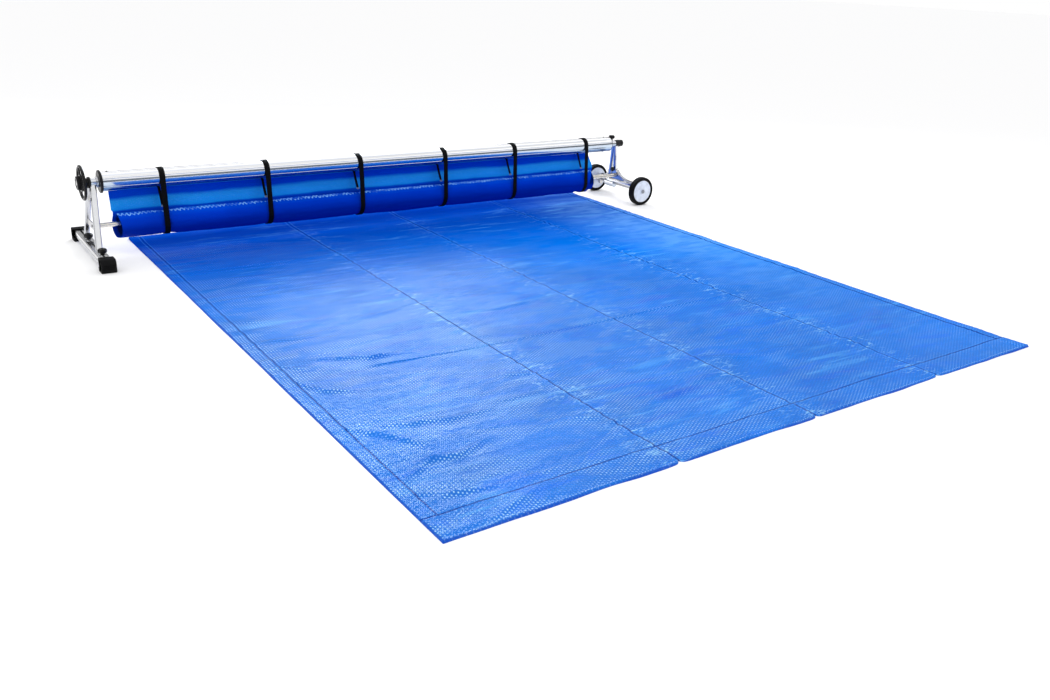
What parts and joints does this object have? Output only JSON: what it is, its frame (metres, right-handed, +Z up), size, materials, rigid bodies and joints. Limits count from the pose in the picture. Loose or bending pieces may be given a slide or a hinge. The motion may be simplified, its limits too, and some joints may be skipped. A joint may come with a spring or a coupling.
{
  "type": "pool cover reel",
  "caption": "Mobile pool cover reel: aluminium winding tube on a footed stand and a wheeled stand, handwheel, strapped bubble cover rolled below it and laid on the floor.",
  "frame": {"origin": "on the floor under the middle of the tube: midway along the tube, straight below its axis, at the underside of the laid-out cover", "axes": "+X along the tube from the handwheel and footed stand to the wheeled stand, -Y towards the pool side where the cover is laid out, +Z up"},
  "size_m": [3.771, 3.699, 0.4935],
  "materials": {
    "tube_aluminium": "bright drawn tube with fine lengthwise ribs, satin polish",
    "frame_aluminium": "bright anodised extrusion, polished faces with fine drawing lines",
    "chromed_steel": "bright chrome plate",
    "bright_steel": "zinc-bright brushed steel",
    "black_plastic": "moulded black plastic, fine moulded grain, slight gloss",
    "foot_rubber": "black moulded rubber, worn matt on the edges",
    "tyre_rubber": "black solid tyre with a fine circumferential tread line",
    "wheel_white": "cool white moulded plastic, semi-gloss",
    "cap_grey": "grey push-on cap",
    "cover_blue": "royal blue bubble film, glossy, heat-welded seams and stitched hem",
    "strap_webbing": "black woven webbing"
  },
  "bodies": {
    "frame": {"left_base_beam": "frame_aluminium", "left_front_foot": "foot_rubber", "left_rear_foot": "foot_rubber", "left_front_leg": "frame_aluminium", "left_rear_leg": "frame_aluminium", "left_bearing_sleeve": "chromed_steel", "left_bearing_bush": "black_plastic", "left_web_plate": "bright_steel", "left_bar_bolt": "bright_steel", "left_front_clamp_bolt": "bright_steel", "left_rear_clamp_bolt": "bright_steel", "right_base_beam": "frame_aluminium", "right_front_axle_plate": "frame_aluminium", "right_rear_axle_plate": "frame_aluminium", "wheel_axle": "bright_steel", "right_saddle_clamp": "chromed_steel", "right_axle_bracket": "bright_steel", "right_rear_leg": "frame_aluminium", "right_front_leg": "frame_aluminium", "right_gusset_plate": "frame_aluminium", "right_front_brace": "frame_aluminium", "right_rear_brace": "frame_aluminium", "right_bearing_sleeve": "chromed_steel", "right_bearing_bush": "black_plastic", "right_bar_bolt": "bright_steel", "right_clamp_bolt": "bright_steel", "front_wheel_cap": "cap_grey", "rear_wheel_cap": "cap_grey", "spreader_bar": "bright_steel", "cover_roll": "cover_blue", "cover_sheet": "cover_blue", "strap_1": "strap_webbing", "strap_2": "strap_webbing", "strap_3": "strap_webbing", "strap_4": "strap_webbing", "strap_5": "strap_webbing", "strap_6": "strap_webbing"},
    "reel": {"reel_tube": "tube_aluminium", "left_tube_flange": "black_plastic", "right_tube_flange": "black_plastic", "left_axle_shaft": "bright_steel", "right_axle_shaft": "bright_steel", "left_collar": "chromed_steel", "right_collar": "chromed_steel", "right_end_cap": "black_plastic", "left_tube_screw_top": "black_plastic", "left_tube_screw_bottom": "black_plastic", "right_tube_screw_top": "black_plastic", "right_tube_screw_bottom": "black_plastic", "handwheel_hub": "black_plastic", "handwheel_rim": "black_plastic", "handwheel_nut": "bright_steel"},
    "front_wheel": {"front_wheel_tyre": "tyre_rubber", "front_wheel_disc": "wheel_white"},
    "rear_wheel": {"rear_wheel_tyre": "tyre_rubber", "rear_wheel_disc": "wheel_white"},
    "left_front_knob": {"left_front_clamp_knob": "black_plastic"},
    "left_rear_knob": {"left_rear_clamp_knob": "black_plastic"},
    "right_knob": {"right_clamp_knob": "black_plastic"},
    "lock_knob": {"reel_lock_knob": "black_plastic"}
  },
  "joints": [
    {"name": "reel_spin", "type": "hinge", "parent": "frame", "child": "reel", "pos_m": [0, 0, 0.401], "axis": [1, 0, 0], "continuous": true},
    {"name": "front_wheel_spin", "type": "hinge", "parent": "frame", "child": "front_wheel", "pos_m": [1.82, -0.258, 0.1], "axis": [0, 1, 0], "continuous": true},
    {"name": "rear_wheel_spin", "type": "hinge", "parent": "frame", "child": "rear_wheel", "pos_m": [1.82, 0.258, 0.1], "axis": [0, 1, 0], "continuous": true},
    {"name": "left_front_knob_turn", "type": "hinge", "parent": "frame", "child": "left_front_knob", "pos_m": [-1.803, -0.196, 0.085], "axis": [0, 0, 1], "range_deg": [0, 900]},
    {"name": "left_rear_knob_turn", "type": "hinge", "parent": "frame", "child": "left_rear_knob", "pos_m": [-1.803, 0.132, 0.085], "axis": [0, 0, 1], "range_deg": [0, 900]},
    {"name": "right_knob_turn", "type": "hinge", "parent": "frame", "child": "right_knob", "pos_m": [1.76563, 0.009, 0.213], "axis": [-1, 0, 0], "range_deg": [0, 900]},
    {"name": "lock_knob_turn", "type": "hinge", "parent": "frame", "child": "lock_knob", "pos_m": [1.728, 0, 0.448], "axis": [0, 0, 1], "range_deg": [0, 900]}
  ]
}
